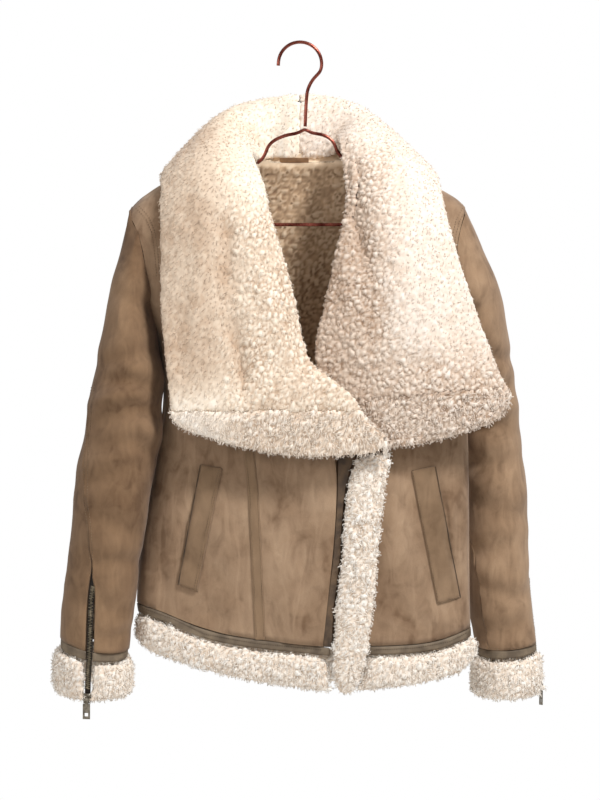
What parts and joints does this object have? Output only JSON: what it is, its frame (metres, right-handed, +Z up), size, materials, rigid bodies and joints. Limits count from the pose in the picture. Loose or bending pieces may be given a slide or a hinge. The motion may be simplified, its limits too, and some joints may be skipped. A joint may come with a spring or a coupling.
{
  "type": "shearling jacket on a wire hanger",
  "caption": "Hip-length shearling jacket with a wide fur shawl collar, fur cuffs and hem, slanted pockets and cuff zips, hanging open-necked on a wire hanger.",
  "frame": {"origin": "highest point inside the hanger's hook, where it rests on a nail, peg or rail", "axes": "+Z up, -Y out of the jacket's front, +X towards the viewer's right as the front is seen"},
  "size_m": [0.6245, 0.1968, 0.8477],
  "materials": {
    "suede": "napped suede",
    "binding": "smooth satin leather",
    "fur": "cream sheepskin fleece",
    "tape": "woven zip tape",
    "brass": "antique zip teeth",
    "nickel": "antique nickel",
    "copper": "copper-coated wire",
    "loop": "brown leather"
  },
  "bodies": {
    "jacket": {"hanger_hook": "copper", "hanger_frame": "copper", "hanging_loop": "loop", "front_left_side": "suede", "front_left_centre": "suede", "front_right": "suede", "back": "suede", "hem_binding_left": "binding", "hem_binding_right": "binding", "hem_binding_back": "binding", "hem_fur_left": "fur", "hem_fur_right": "fur", "hem_fur_back": "fur", "front_fur": "fur", "front_binding": "binding", "pocket_welt_left": "suede", "pocket_welt_right": "suede", "seam_tape_left": "binding", "sleeve_left_upper": "suede", "sleeve_left_under": "suede", "cuff_binding_left": "binding", "cuff_fur_left": "fur", "zip_tape_left": "tape", "zip_chain_left": "brass", "zip_slider_left": "nickel", "sleeve_right_upper": "suede", "sleeve_right_under": "suede", "cuff_binding_right": "binding", "cuff_fur_right": "fur", "zip_tape_right": "tape", "zip_chain_right": "brass", "zip_slider_right": "nickel", "collar_left": "fur", "collar_trim_left": "fur", "collar_right": "fur", "collar_trim_right": "fur"},
    "zip_pull_left": {"zip_pull_left": "nickel"},
    "zip_pull_right": {"zip_pull_right": "nickel"}
  },
  "joints": [
    {"name": "zip_pull_left_swing", "type": "hinge", "parent": "jacket", "child": "zip_pull_left", "pos_m": [-0.26341, -0.07709, -0.8179], "axis": [-0.9964, 0.0827, 0.0163], "range_deg": [0, 150]},
    {"name": "zip_pull_right_swing", "type": "hinge", "parent": "jacket", "child": "zip_pull_right", "pos_m": [0.30894, 0.06094, -0.81449], "axis": [0.2978, -0.954, 0.0338], "range_deg": [0, 150]}
  ]
}
